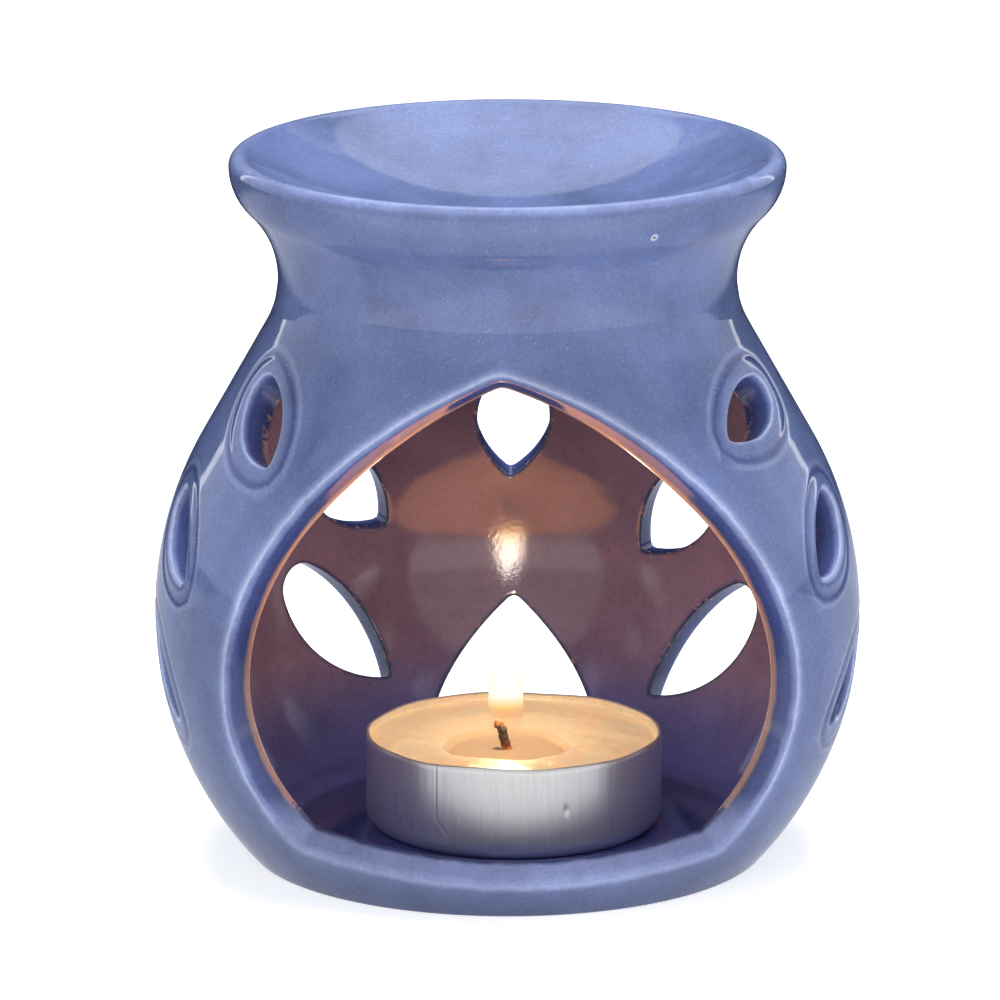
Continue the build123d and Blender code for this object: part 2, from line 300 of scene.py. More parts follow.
def fill_between(loops, points, bottom, columns=180, rows=62):
    """Triangles over the unrolled pot from a bottom length up to the seam, round the closed loops.

    Returns the azimuths and lengths of all vertices, the triangles, the vertex numbers of the bottom row
    and of the top row, and the first vertex number of each loop. The side at the seam azimuth is shared.
    """
    turns = seam_azimuth - 2 * pi + 2 * pi * np.arange(columns + 1) / columns
    heights = np.linspace(bottom, pot_length, rows + 1)
    low, high = (np.stack([turns, np.full(columns + 1, edge)], 1) for edge in heights[[0, -1]])
    left, right = (np.stack([np.full(rows - 1, turn), heights[1:-1]], 1) for turn in turns[[0, -1]])
    vertices = np.vstack([low, high, left, right] + loops + [points])
    first = 2 * (columns + 1)
    low_row, high_row = np.arange(columns + 1), np.arange(columns + 1, first)
    left_row = np.concatenate([[0], np.arange(first, first + rows - 1), [columns + 1]])
    right_row = np.concatenate([[columns], np.arange(first + rows - 1, first + 2 * rows - 2), [first - 1]])
    edges = [np.stack([row[:-1], row[1:]], 1) for row in (low_row, high_row, left_row, right_row)]
    starts = first + 2 * rows - 2 + np.cumsum([0] + [len(loop) for loop in loops])
    for start, loop in zip(starts, loops):
        numbers = start + np.arange(len(loop))
        edges.append(np.stack([numbers, np.roll(numbers, -1)], 1))
    flat = (vertices * (belly_about, 1.0)).tolist()
    _, _, faces, origins, _, _ = delaunay_2d_cdt(flat, np.vstack(edges).tolist(), [], 0, 1e-5)
    back = np.array([origin[0] for origin in origins])
    faces = back[np.array(faces)]
    corners = vertices[faces]
    span_a, span_b = corners[:, 1] - corners[:, 0], corners[:, 2] - corners[:, 0]
    area = span_a[:, 0] * span_b[:, 1] - span_a[:, 1] * span_b[:, 0]
    keep = ~inside_loops(corners.mean(1), loops) & (np.abs(area) > 1e-9)
    faces = np.where(area[:, None] < 0, faces[:, ::-1], faces)[keep]
    joined = np.arange(len(vertices))
    joined[right_row] = left_row
    return vertices, joined[faces], low_row[:-1], high_row[:-1], starts[:-1]


def ribbon(first_row, second_row):
    """Quads, as two triangles each, between two closed rows of vertex numbers of the same length."""
    a, b = first_row, np.roll(first_row, -1)
    c, d = second_row, np.roll(second_row, -1)
    return np.vstack([np.stack([a, b, d], 1), np.stack([a, d, c], 1)])


# Distances of the groove round a leaf, and of the ridge that the tool pushed up beside it
groove_at = 2.7
ridge_at = 3.6


def leaf_relief(gap):
    """Height over the plain wall at a distance from a leaf: the pushed-up lip, the ridge, less the groove."""
    return 0.03 * bell(gap, 1.6, 0.6) + 0.03 * bell(gap, ridge_at, 0.4) - 0.12 * bell(gap, groove_at, 0.42)


def glaze_pool_shade_highlight(gap, by_leaf):
    """Above zero where glaze pools dark, with painted shade, in a leaf's groove and beside the mouth, and
    below zero for a painted highlight on a leaf's ridge.
    """
    by_groove = 0.75 * bell(gap, groove_at, 0.5) - 0.4 * bell(gap, ridge_at, 0.3)
    return np.where(by_leaf, by_groove, 0.10 * bell(gap, 5.5, 1.6))


def mouth_relief(gap):
    """Height over the plain wall at a distance from the mouth, where a damp sponge wore it down a little."""
    return -0.10 * bell(gap, 2.6, 1.6)


# The mouth has the rounder edge and the wider painted highlight along it
edge_round = [1.2] + [0.9] * (1 + len(leaves))
highlight_narrowing = [1.0] + [1.9] * (1 + len(leaves))
inner_edge_round = 0.25
rim_spacing = 0.5
ring_gaps = (1.35, 1.8, 2.2, 2.6, 3.0, 3.4, 3.8, 4.3, 4.9, 5.6)


def pot_mesh():
    """Vertices in millimetres, triangles and the attributes of the pot: the section, and the glaze's pooling
    with its painted shade and highlight.

    The section runs from plain_outside, through 0 where an edge starts to round off and minus the depth
    on the cut wall, down to plain_inside.
    """
    loops = [even_on_pot(opening if signed_area(opening) > 0 else opening[::-1], rim_spacing)
             for opening in openings]
    outer_loops = [edge_offset(loop, size) for loop, size in zip(loops, edge_round)]
    inner_loops = [edge_offset(loop, inner_edge_round) for loop in loops]
    rings = [edge_offset(even_on_pot(loop, 0.55), gap) for loop in loops for gap in ring_gaps]
    gaps = np.concatenate([np.full(len(ring), gap) for ring, gap in zip(rings, ring_gaps * len(loops))])
    rings = np.vstack(rings)
    nearest, _ = distance_to(rings, loops)
    inside_pot = (rings[:, 1] > 0.6) & (rings[:, 1] < pot_length - 1.0)
    rings = rings[(nearest > gaps - 0.12) & inside_pot]

    def grid(pitch, bottom, clearance):
        """Rows of points over the whole pot at a pitch, every second row shifted, clear of the openings."""
        rows = []
        for number, length in enumerate(np.arange(bottom + pitch, pot_length - pitch, pitch * 0.87)):
            count = int(2 * pi * on_meridian(length)[0] / pitch)
            share = (np.arange(count) + 0.5 + 0.25 * (number % 2)) / (count + 0.5)
            rows.append(np.stack([seam_azimuth - 2 * pi * (1 - share), np.full(count, length)], 1))
        rows = np.vstack(rows)
        nearest, _ = distance_to(rows, loops)
        return rows[(nearest > clearance) & ~inside_loops(rows, loops)]

    outside = fill_between(outer_loops, np.vstack([rings, grid(1.15, 0, 6.2)]), 0.0)
    foot_radius, _, foot_out, _ = on_meridian(0)
    foot_centre = foot_radius - foot_round * foot_out
    fillet_turn = asin((belly_height - floor_top - floor_fillet) / (low_curve - wall - floor_fillet))
    fillet_length = (foot_turn - fillet_turn) * low_curve
    inner_rings = np.vstack([edge_offset(even_on_pot(loop, 0.9), gap)
                             for loop in loops for gap in (0.8, 1.7)])
    near_inner, _ = distance_to(inner_rings, loops)
    inner_rings = inner_rings[(near_inner > 0.7) & (inner_rings[:, 1] > fillet_length + 0.3)]
    inside = fill_between(inner_loops, np.vstack([inner_rings, grid(1.9, fillet_length, 2.6)]), fillet_length)

    places, faces, section, pool_shade_highlight = [], [], [], []

    def add(points, values, pools_shade_highlight=0.0):
        """Put points, their section values and their pooling, painted shade and highlight on the lists and
        return their vertex numbers.
        """
        first = sum(len(rows) for rows in places)
        places.append(points)
        section.append(np.broadcast_to(values, len(points)))
        pool_shade_highlight.append(np.broadcast_to(pools_shade_highlight, len(points)))
        return np.arange(first, first + len(points))

    def band(before, after):
        """Join two rows of vertex numbers with a ribbon of triangles and return the second row."""
        faces.append(ribbon(before, after))
        return after

    vertices, triangles, low_row, high_row, starts = outside
    gap, owner = distance_to(vertices, loops)
    spare = belly_radius - on_meridian(vertices[:, 1])[0]
    relief = np.minimum(np.where(owner == 0, mouth_relief(gap), leaf_relief(gap)), spare)
    from_edge = np.minimum(gap * np.array(highlight_narrowing)[owner], plain_outside)
    outer = add(in_wall(vertices[:, 0], vertices[:, 1], -relief), from_edge, glaze_pool_shade_highlight(gap, owner > 0))
    faces.append(triangles)
    inner_vertices, inner_triangles, inner_low, inner_high, inner_starts = inside
    inner_gap, _ = distance_to(inner_vertices, loops)
    inner = add(in_wall(inner_vertices[:, 0], inner_vertices[:, 1], wall), -wall - np.minimum(inner_gap, 7.8))
    faces.append(inner[inner_triangles][:, ::-1])

    for number, loop in enumerate(loops):
        size = edge_round[number]
        height = mouth_relief(size) if number == 0 else min(leaf_relief(size), 0.0)
        bends = np.radians([75, 60, 45, 30, 15, 0])
        rows = [(size * (1 - cos(a)), size * (1 - sin(a)) - height * sin(a) ** 2) for a in bends]
        rows += [(0, size + share * (wall - inner_edge_round - size)) for share in (0.2, 0.4, 0.6, 0.8, 1.0)]
        rows += [(inner_edge_round * (1 - cos(a)), wall - inner_edge_round * (1 - sin(a)))
                 for a in np.radians([30, 60])]
        last = outer[starts[number]] + np.arange(len(loop))
        for offset, depth in rows:
            line = edge_offset(loop, offset)
            value = offset * highlight_narrowing[number] if depth < size * 0.3 else -depth
            last = band(last, add(in_wall(line[:, 0], line[:, 1], depth), value))
        band(last, inner[inner_starts[number]] + np.arange(len(loop)))

    turns = vertices[low_row, 0]
    around = np.stack([np.sin(turns), -np.cos(turns)], 1)

    def ring(radius, height, value):
        """Add a level ring of vertices at the pot's own azimuths and return their numbers."""
        return add(np.column_stack([around * radius, np.full(len(turns), height)]), value)

    last = outer[high_row]
    for depth in (wall / 2, wall):
        last = band(last, add(in_wall(turns, np.full(len(turns), pot_length), depth), plain_inside))
    band(last, inner[inner_high])

    foot = [(foot_centre + foot_round * cos(a), foot_round * (1 + sin(a)))
            for a in np.linspace(-foot_turn, -pi / 2, 7)[1:]]
    fillet_radius, _, fillet_out, _ = on_meridian(fillet_length)
    fillet_centre = fillet_radius - (wall + floor_fillet) * fillet_out
    fillet = [(fillet_centre + floor_fillet * cos(a), floor_top + floor_fillet * (1 + sin(a)))
              for a in np.linspace(-fillet_turn, -pi / 2, 7)[1:]]
    under = [(radius, 0.0) for radius in (26.0, 18.0, 9.0)]
    level = [(radius, floor_top) for radius in (25.0, 20.0, 15.0, 10.0, 5.0)]
    for last, rows, height, value, turned in ((outer[low_row], foot + under, 0.0, plain_outside, -1),
                                              (inner[inner_low], fillet + level, floor_top, plain_inside, 1)):
        for row in rows:
            following = ring(*row, value)
            faces.append(ribbon(*(last, following)[::turned]))
            last = following
        middle = add(np.array([[0.0, 0.0, height]]), value)
        faces.append(np.stack([last, np.roll(last, -1), np.repeat(middle, len(last))], 1)[:, ::turned])
    values = {"section": np.concatenate(section), "pool_shade_highlight": np.concatenate(pool_shade_highlight)}
    return np.vstack(places), np.vstack(faces), values


sharp_from = radians(50)


def put_in_scene(name, data):
    """Object of a mesh, a lamp or a camera, linked to the scene."""
    item = bpy.data.objects.new(name, data)
    bpy.context.scene.collection.objects.link(item)
    return item


def make_piece(name, vertices, faces, attributes=None, place=(0, 0, 0)):
    """Smooth object at the origin from vertices in millimetres, moved by a place, and triangles."""
    used, renumbered = np.unique(faces, return_inverse=True)
    faces = renumbered.reshape(faces.shape)
    mesh = bpy.data.meshes.new(name)
    mesh.from_pydata(((vertices[used] + place) * MM).tolist(), [], faces.tolist())
    for key, values in (attributes or {}).items():
        layer = mesh.attributes.new(key, "FLOAT", "POINT")
        layer.data.foreach_set("value", values[used].astype(np.float32))
    mesh.shade_smooth()
    mesh.set_sharp_from_angle(angle=sharp_from)
    mesh.validate()
    return put_in_scene(name, mesh)


pot = make_piece("pot_shell", *pot_mesh())


def hex_linear(code):
    """Linear red, green, blue and alpha of an sRGB hex colour such as "#7f8dc9"."""
    shares = [int(code[start:start + 2], 16) / 255 for start in (1, 3, 5)]
    linear = [share / 12.92 if share <= 0.04045 else ((share + 0.055) / 1.055) ** 2.4 for share in shares]
    return linear + [1.0]


def add_node(tree, kind, inputs=None, stops=(), **settings):
    """Add a shader node of a kind with its settings, its inputs by name or number, and a ramp's stops.

    A colour is given as a hex code. An input can also be a socket, or a node, which stands for its first
    output in use.
    """
    node = tree.nodes.new("ShaderNode" + kind)
    for key, value in settings.items():
        setattr(node, key, value)
    for key, value in (inputs or {}).items():
        if isinstance(value, bpy.types.Node):
            value = next(socket for socket in value.outputs if socket.enabled)
        if isinstance(value, bpy.types.NodeSocket):
            tree.links.new(value, node.inputs[key])
        else:
            node.inputs[key].default_value = hex_linear(value) if isinstance(value, str) else value
    while stops and len(node.color_ramp.elements) > 1:
        node.color_ramp.elements.remove(node.color_ramp.elements[0])
    for number, (place, value) in enumerate(stops):
        elements = node.color_ramp.elements
        element = elements.new(place) if number else elements[0]
        element.position = place
        element.color = hex_linear(value) if isinstance(value, str) else (value, value, value, 1.0)
    return node


def node_adder(owner):
    """Empty the node tree of a material or a world, and return the function that adds nodes to it."""
    owner.use_nodes = True
    owner.node_tree.nodes.clear()
    return partial(add_node, owner.node_tree)


def stoneware_glaze():
    """Blue reactive glaze on stoneware: a hard glassy coat with a painted highlight on its rounded edges,
    painted shade on its cut walls, and dark where it pools, with painted shade in its grooves.

    Fired glaze has an IOR near 1.52 and a roughness under 0.1. Crystals are painted in it as pale specks that
    stand for their glints, drawn 0.5 mm apart, as coarse as they need to be to show. The clay shows
    terracotta where the glaze ran off the cut's inner edge, with painted flame light on it, pinholes of burst
    bubbles are brown with a pale ring, and inside the pot the blue glaze is painted a brown mauve as warm
    flame light, blue low down in painted shade.
    """
    material = bpy.data.materials.new("stoneware_glaze")
    node = node_adder(material)
    place = node("TexCoord").outputs["Object"]
    section = node("Attribute", attribute_name="section").outputs["Fac"]
    waver = node("TexNoise", {"Vector": place, "Scale": 1 / (2.5 * MM), "Detail": 2.0})
    waver = node("Math", {0: waver, 1: 0.6, 2: -0.3}, operation="MULTIPLY_ADD")
    shifted = node("Math", {0: section, 1: waver})
    along = node("MapRange", {"Value": shifted, "From Min": plain_inside, "From Max": plain_outside})

    def at(section_mm):
        """Share of the section's range, from the plain inside to the plain outside."""
        return (section_mm - plain_inside) / (plain_outside - plain_inside)

    # Outside colour from the cut wall, darker with painted shade, over a painted highlight along the rounded
    # edge, to the plain blue
    tint = node("ValToRGB", {"Fac": along},
                stops=[(at(-4.2), "#3a4268"), (at(-3.0), "#3e4878"), (at(-1.2), "#4e5b94"),
                       (at(-0.5), "#7f8ec2"), (at(0.0), "#b2bfe4"), (at(0.5), "#b6c3e6"),
                       (at(1.0), "#8b9aca"), (at(1.6), "#7484b4"), (at(2.6), "#6e7eae")])
    # Glaze is dark where it pools, with painted shade in a groove and beside the mouth, and pale with a
    # painted highlight on the ridge beside a groove
    pool_shade_highlight = node("Attribute", attribute_name="pool_shade_highlight").outputs["Fac"]
    ridge_highlight = node("Math", {0: pool_shade_highlight, 1: -1.0}, operation="MULTIPLY")
    # Bare clay along the inner edge of the mouth's sides, with painted flame light on it: full at the front,
    # only orange grains that stand for the flame's glints at the back, and none low down
    _, depth, height = node("SeparateXYZ", {0: place}).outputs
    grain = node("TexNoise", {"Vector": place, "Scale": 1 / (0.8 * MM), "Detail": 2.0})
    clay_light_front = node("MapRange", {"Value": depth, "From Min": -20 * MM, "From Max": -10 * MM, "To Min": 0.35,
                                   "To Max": -0.17})
    clay_light_low = node("MapRange", {"Value": height, "From Min": 9 * MM, "From Max": 14 * MM, "To Min": -1.0,
                                 "To Max": 0.0})
    bare_and_flame_lit = node("Math", {0: clay_light_front, 1: clay_light_low})
    bare_and_flame_lit = node("Math", {0: bare_and_flame_lit, 1: grain})
    bare_and_flame_lit = node("MapRange", {"Value": bare_and_flame_lit, "From Min": 0.42, "From Max": 0.55})
    clay_and_flame_light = node("ValToRGB", {"Fac": along},
                stops=[(at(-5.1), 0.0), (at(-4.5), 1.0), (at(-3.5), 1.0), (at(-3.0), 0.0)])
    clay_and_flame_light = node("Math", {0: clay_and_flame_light, 1: bare_and_flame_lit}, operation="MULTIPLY")
    # Inside colour: the blue glaze is painted a brown mauve above as warm flame light, darker towards the
    # top, and stays blue low down in painted shade under the cup's rim
    inside = node("MapRange", {"Value": height, "From Min": 4 * MM, "From Max": 64 * MM})
    inside = node("ValToRGB", {"Fac": inside},
                  stops=[(0.0, "#4e5292"), (0.10, "#5f5b8c"), (0.22, "#876e84"), (0.42, "#82677a"),
                         (0.65, "#6e5868"), (0.95, "#54424e")])
    share_inside = node("ValToRGB", {"Fac": along}, stops=[(at(-4.9), 1.0), (at(-4.3), 0.0)])
    # The sill is painted pale, as painted light of the top lamp and the flame falling on it
    on_sill = node("MapRange", {"Value": height, "From Min": 10 * MM, "From Max": 14 * MM, "To Min": 0.75,
                                "To Max": 0.0})
    cut_wall = node("ValToRGB", {"Fac": along},
                    stops=[(at(-3.8), 0.0), (at(-3.2), 1.0), (at(0.4), 1.0), (at(1.2), 0.0)])
    sill_light = node("Math", {0: on_sill, 1: cut_wall}, operation="MULTIPLY")
    # Mix in the dark pooling with its painted shade, the painted highlight on ridges, the inside's painted
    # flame light and shade, the clay with its painted flame light, and the sill's painted light
    for share, colour in ((pool_shade_highlight, "#3a4684"), (ridge_highlight, "#b4c1e4"), (share_inside, inside),
                          (clay_and_flame_light, "#a27c74"), (sill_light, "#97a4d2")):
        tint = node("Mix", {0: share, 6: tint, 7: colour}, data_type="RGBA")
    # Clouds and specks, then pale crystals painted in as glints, and the pinholes of burst bubbles
    cloud = node("TexNoise", {"Vector": place, "Scale": 1 / (13 * MM), "Detail": 6.0, "Roughness": 0.62})
    speck = node("TexNoise", {"Vector": place, "Scale": 1 / (0.55 * MM), "Detail": 3.0, "Roughness": 0.7})
    cloud_tone = node("ValToRGB", {"Fac": cloud}, stops=[(0.30, 0.76), (0.50, 1.0), (0.72, 1.25)])
    speck_tone = node("ValToRGB", {"Fac": speck}, stops=[(0.32, 0.78), (0.50, 1.0), (0.68, 1.22)])
    for share, tone in ((1.0, cloud_tone), (0.45, speck_tone)):
        tint = node("Mix", {0: share, 6: tint, 7: tone}, data_type="RGBA", blend_type="MULTIPLY")
    crystals = node("TexVoronoi", {"Vector": place, "Scale": 1 / (0.5 * MM)})
    crystal_glint = node("ValToRGB", {"Fac": crystals}, stops=[(0.10, 1.0), (0.25, 0.0)])
    chance = node("ValToRGB", {"Fac": crystals.outputs["Color"]}, stops=[(0.60, 0.0), (0.72, 0.8)])
    crowding = node("MapRange", {"Value": pool_shade_highlight, "From Max": 0.6, "To Min": 0.45, "To Max": 1.0})
    outdoors = node("MapRange", {"Value": along, "From Min": at(-4.5), "From Max": at(0)})
    for share in (chance, crowding, outdoors):
        crystal_glint = node("Math", {0: crystal_glint, 1: share}, operation="MULTIPLY")
    coat = node("Mix", {0: crystal_glint, 6: tint, 7: "#bcc6e6"}, data_type="RGBA")
    pinholes = [(17.94, -29.28, 86.4), (-14.14, -31.76, 62.2), (-20.05, -31.47, 57.6), (-8.5, -35.9, 75.0)]
    for hole in pinholes:
        reach = node("VectorMath", {0: place, 1: Vector(hole) * MM}, operation="DISTANCE")
        reach = node("MapRange", {"Value": reach, "From Max": 0.7 * MM})
        ring_tone = node("ValToRGB", {"Fac": reach},
                         stops=[(0.40, "#4a3428"), (0.55, "#d3dae8"), (0.75, "#b4bfe0")])
        ring_share = node("ValToRGB", {"Fac": reach}, stops=[(0.78, 1.0), (0.98, 0.0)])
        coat = node("Mix", {0: ring_share, 6: coat, 7: ring_tone}, data_type="RGBA")
    # Faint ripples of the coat, and a finer frost that is stronger inside
    ripple = node("TexNoise", {"Vector": place, "Scale": 1 / (3.2 * MM), "Detail": 2.0, "Roughness": 0.5})
    coarse = node("Bump", {"Strength": 0.15, "Distance": 0.12 * MM, "Height": ripple})
    frost = node("MapRange", {"Value": share_inside, "To Min": 0.10, "To Max": 0.25})
    fine = node("Bump", {"Strength": frost, "Distance": 0.03 * MM, "Height": speck, "Normal": coarse})
    glaze = node("BsdfPrincipled", {"Base Color": coat, "Roughness": 0.06, "IOR": 1.52, "Normal": fine})
    node("OutputMaterial", {0: glaze})
    return material


glaze = stoneware_glaze()
pot.data.materials.append(glaze)
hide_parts("burner_body")
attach(pot, "pot")


# Oil dish: a shallow round bowl thrown with a flared, rounded lip and luted to the neck with slip before
# firing, which leaves a faint line. It carries the same glaze, with a painted highlight along the lip.
rim_radius = 35.3
flare_curve = 7.4
lip_round = 1.6
dish_depth = 9.0
dish_thickness = 4.2
ceiling_fillet = 1.5
flare_reach = neck_centre - rim_radius + flare_curve
flare_rise = sqrt((neck_curve + flare_curve) ** 2 - flare_reach**2)
flare_turn = asin(flare_rise / (neck_curve + flare_curve))
lip_radius = rim_radius - lip_round
lip_height = neck_height + flare_rise
bowl_drop = dish_depth - lip_round
bowl_curve = (lip_radius**2 + bowl_drop**2 - lip_round**2) / (2 * dish_depth)
bowl_centre = lip_height - bowl_drop + bowl_curve
bowl_turn = asin(lip_radius / (bowl_curve + lip_round))


def full_turn(count):
    """Angles of a number of equal steps round a full turn."""
    return 2 * pi * np.arange(count) / count


def closed_skin(rows, first_end, last_end):
    """Vertices and triangles of a grid of closed rows of points, with one more point to close each end."""
    columns = rows.shape[1]
    numbers = np.arange(len(rows) * columns).reshape(-1, columns)
    faces = [ribbon(before, after) for before, after in zip(numbers[:-1], numbers[1:])]
    first, last = np.full(columns, numbers.size), np.full(columns, numbers.size + 1)
    faces.append(np.stack([first, np.roll(numbers[0], -1), numbers[0]], 1))
    faces.append(np.stack([numbers[-1], np.roll(numbers[-1], -1), last], 1))
    return np.vstack([rows.reshape(-1, 3), first_end, last_end]), np.vstack(faces)


def lathe(profile, columns, swell=0.0, lift=0.0):
    """Vertices and triangles of a profile of radius and height turned about the axis.

    The vertex at column c is (r sin a, -r cos a, z) with a = 2 pi c / columns, where r and z may be raised
    by a grid of rows and columns, swell and lift. Both ends of the profile lie on the axis and become one
    point each, and the outside is on the right hand of the profile.
    """
    turns = full_turn(columns)
    radius = np.broadcast_to(profile[1:-1, :1], (len(profile) - 2, columns)) + swell
    height = np.broadcast_to(profile[1:-1, 1:2], (len(profile) - 2, columns)) + lift
    rows = np.stack([radius * np.sin(turns), -radius * np.cos(turns), height], -1)
    return closed_skin(rows, [0.0, 0.0, profile[0, 1]], [0.0, 0.0, profile[-1, 1]])


def by_row(values, columns):
    """Values of a lathe's vertices from one value for each point of its profile."""
    return np.concatenate([np.repeat(values[1:-1], columns), values[[0, -1]]])


def dish_profile():
    """Section of the dish from the middle of its underside, round neck and lip, to the bowl's middle.

    Returns the points of radius and height, and the value of the glaze's section attribute at each.
    """
    seam_turn = asin(seam_below_neck / neck_curve)
    neck = arc((neck_centre, neck_height), neck_curve, pi + seam_turn, pi - flare_turn, step=0.4)
    flare = arc((rim_radius - flare_curve, lip_height), flare_curve, -flare_turn, 0, step=0.35)
    lip = arc((lip_radius, lip_height), lip_round, 0, pi / 2 + bowl_turn, step=0.2)
    bowl = arc((0, bowl_centre), bowl_curve, -pi / 2 + bowl_turn, -pi / 2, step=0.6)
    inner_seam = asin(seam_below_neck / (neck_curve + wall))
    inner_neck = arc((neck_centre, neck_height), neck_curve + wall, pi - flare_turn, pi + inner_seam,
                     step=0.8)
    under_curve = bowl_curve + dish_thickness
    underside = bowl_centre - np.sqrt(under_curve**2 - inner_neck[:, 0] ** 2)
    inner_neck = inner_neck[inner_neck[:, 1] < underside - ceiling_fillet / 2]
    under_turn = asin((inner_neck[0, 0] - ceiling_fillet / 2) / under_curve)
    under = arc((0, bowl_centre), under_curve, -pi / 2, -pi / 2 + under_turn, step=1.0)
    under, inner_neck = under[:, :2], inner_neck[:, :2]
    pieces = [under, inner_neck, neck[:, :2], flare[1:, :2], lip[1:, :2], bowl[1:, :2]]
    # The lip's section values give it the painted highlight of the glaze's edges, palest on its crest
    crest = np.abs(np.linspace(-1, 1, len(lip) - 1))
    values = [np.full(len(under) + len(inner_neck), plain_inside),
              np.full(len(neck) + len(flare) - 1, plain_outside),
              1.0 + 1.2 * crest**2, np.full(len(bowl) - 1, plain_outside)]
    return np.vstack(pieces), np.concatenate(values)


dish_columns = 240
dish_line, dish_section = dish_profile()
dish = make_piece("oil_dish_glazed", *lathe(dish_line, dish_columns),
                  {"section": by_row(dish_section, dish_columns)})
dish.data.materials.append(glaze)
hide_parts("oil_dish")
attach(dish, "pot")


# Tealight cup: drawn from thin aluminium sheet, with a flat bottom, a round corner and a curled rim. The
# punch left fine upright lines, and handling left a crease, two dents and a rim that isn't quite true.
candle = np.array([0.8, -5.7, floor_top])
cup_radius = 19.0
cup_height = 12.3
cup_wall = 0.3
cup_corner = 2.5
cup_bead = 0.25
bead_foot = 0.7
cup_columns = 720


def cup_profile():
    """Section of the cup from the middle of its inside, out and over the rim, to the middle of its bottom."""
    corner = cup_corner - cup_wall
    inside_floor = np.linspace((0, cup_wall), (cup_radius - cup_corner, cup_wall), 8)
    inner_corner = arc((cup_radius - cup_corner, cup_corner), corner, -pi / 2, 0, step=0.5)[:, :2]
    inner_radius = cup_radius - cup_wall
    inner_wall = np.linspace((inner_radius, cup_corner), (inner_radius, cup_height - bead_foot), 12)
    bead_place = (cup_radius - cup_bead, cup_height - cup_bead)
    bead = arc(bead_place, cup_bead, pi, 0, step=0.1)[:, :2]
    outer_wall = np.linspace((cup_radius, cup_height - bead_foot), (cup_radius, cup_corner), 30)
    outer_corner = arc((cup_radius - cup_corner, cup_corner), cup_corner, 0, -pi / 2, step=0.3)[:, :2]
    under = np.linspace((cup_radius - cup_corner, 0), (0, 0), 8)
    return np.vstack([inside_floor[:-1], inner_corner[:-1], inner_wall, bead[1:-1], outer_wall,
                      outer_corner[1:-1], under])


def cup_dents(azimuth, height):
    """Radial swelling of the cup's wall: upright draw lines, a crease that turns at its foot, two dents.

    The lines are a sum of cosines of the azimuth, and the crease and dents are bell curves on the wall.
    """
    shake = np.random.default_rng(7)
    lines = 0.0
    for waves in range(14, 96, 3):
        size, start = shake.normal(0, 0.0008), shake.uniform(0, 2 * pi)
        lines = lines + size * np.cos(waves * azimuth + start + 0.04 * height)
    across = cup_radius * azimuth
    crease_line = -10.4 + np.where(height < 5.0, (5.0 - height) * 0.9, 0.0)
    crease = 0.02 * bell(across, crease_line + 0.35, 0.2) - 0.05 * bell(across, crease_line, 0.13)
    crease *= np.clip((height - 2.4) / 0.8, 0, 1)
    dents = 0.09 * bell(across, 6.8, 0.3) * bell(height, 6.6, 0.6)
    dents += 0.14 * bell(across, -2.1, 1.1) * bell(height, 1.6, 0.5)
    return (lines + crease - dents) * np.clip(height / 1.2, 0, 1)


cup_line = cup_profile()
cup_turns = full_turn(cup_columns)
cup_turns = np.where(cup_turns > pi, cup_turns - 2 * pi, cup_turns)
cup_rows, cup_heights = cup_line[1:-1, :1], cup_line[1:-1, 1:]
on_wall = cup_rows > cup_radius - cup_corner - 0.1
cup_swell = (cup_dents(cup_turns, cup_heights) - 0.08) * on_wall
rim_wave = 0.09 * np.cos(5 * cup_turns + 0.8) + 0.07 * np.cos(9 * cup_turns + 2.1) - 0.12
cup_lift = rim_wave * np.clip((cup_heights - cup_height + 3.0) / 3.0, 0, 1)
cup = make_piece("tealight_cup", *lathe(cup_line, cup_columns, cup_swell, cup_lift), place=candle)


def drawn_aluminium():
    """Bare aluminium drawn over a punch: a metal with a satin sheen that runs up and down in fine lines.

    Its roughness is about 0.3. The lines are drawn 0.3 mm apart, coarser than real ones, so that they show.
    """
    material = bpy.data.materials.new("drawn_aluminium")
    node = node_adder(material)
    place = node("TexCoord").outputs["Object"]
    squeezed = node("Mapping", {"Vector": place, "Scale": (1.0, 1.0, 0.05)})
    lines = node("TexNoise", {"Vector": squeezed, "Scale": 1 / (0.3 * MM), "Detail": 3.0, "Roughness": 0.6})
    tone = node("ValToRGB", {"Fac": lines}, stops=[(0.3, "#dcdde2"), (0.7, "#eaeaea")])
    bump = node("Bump", {"Strength": 0.06, "Distance": 0.02 * MM, "Height": lines})
    grain = node("TexNoise", {"Vector": place, "Scale": 1 / (0.35 * MM), "Detail": 2.0})
    bump = node("Bump", {"Strength": 0.35, "Distance": 0.03 * MM, "Height": grain, "Normal": bump})
    metal = node("BsdfPrincipled", {"Base Color": tone, "Metallic": 0.88, "Roughness": 0.34, "Normal": bump})
    node("OutputMaterial", {0: metal})
    return material


cup.data.materials.append(drawn_aluminium())
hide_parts("candle_cup")
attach(cup, "tealight")


# Wick sustainer: a small disc stamped from tinned steel sheet, with a neck crimped round the wick. It
# stands on the cup's floor under the wax.
def tinned_steel():
    """Tinned steel sheet: a bright, slightly cloudy metal with a roughness near 0.35."""
    material = bpy.data.materials.new("tinned_steel")
    node = node_adder(material)
    place = node("TexCoord").outputs["Object"]
    spangle = node("TexNoise", {"Vector": place, "Scale": 1 / (1.2 * MM), "Detail": 4.0})
    tone = node("ValToRGB", {"Fac": spangle}, stops=[(0.35, "#a9a8a4"), (0.65, "#d2d1cc")])
    metal = node("BsdfPrincipled", {"Base Color": tone, "Metallic": 1.0, "Roughness": 0.35})
    node("OutputMaterial", {0: metal})
    return material


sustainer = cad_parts["wick_sustainer"]
sustainer.data.materials.clear()
sustainer.data.materials.append(tinned_steel())


# Wax: peach-coloured paraffin, poured into the cup. It has melted to a clear pool round the wick, with the
# ring of a burst skin on the left, and is grainy where it has set again.
wax_radius = cup_radius - cup_wall - 0.05
wax_below_rim = 1.0
pool_below_rim = 2.6
pool_radius = 7.5
bank_radius = 12.5
wax_chamfer = 0.12


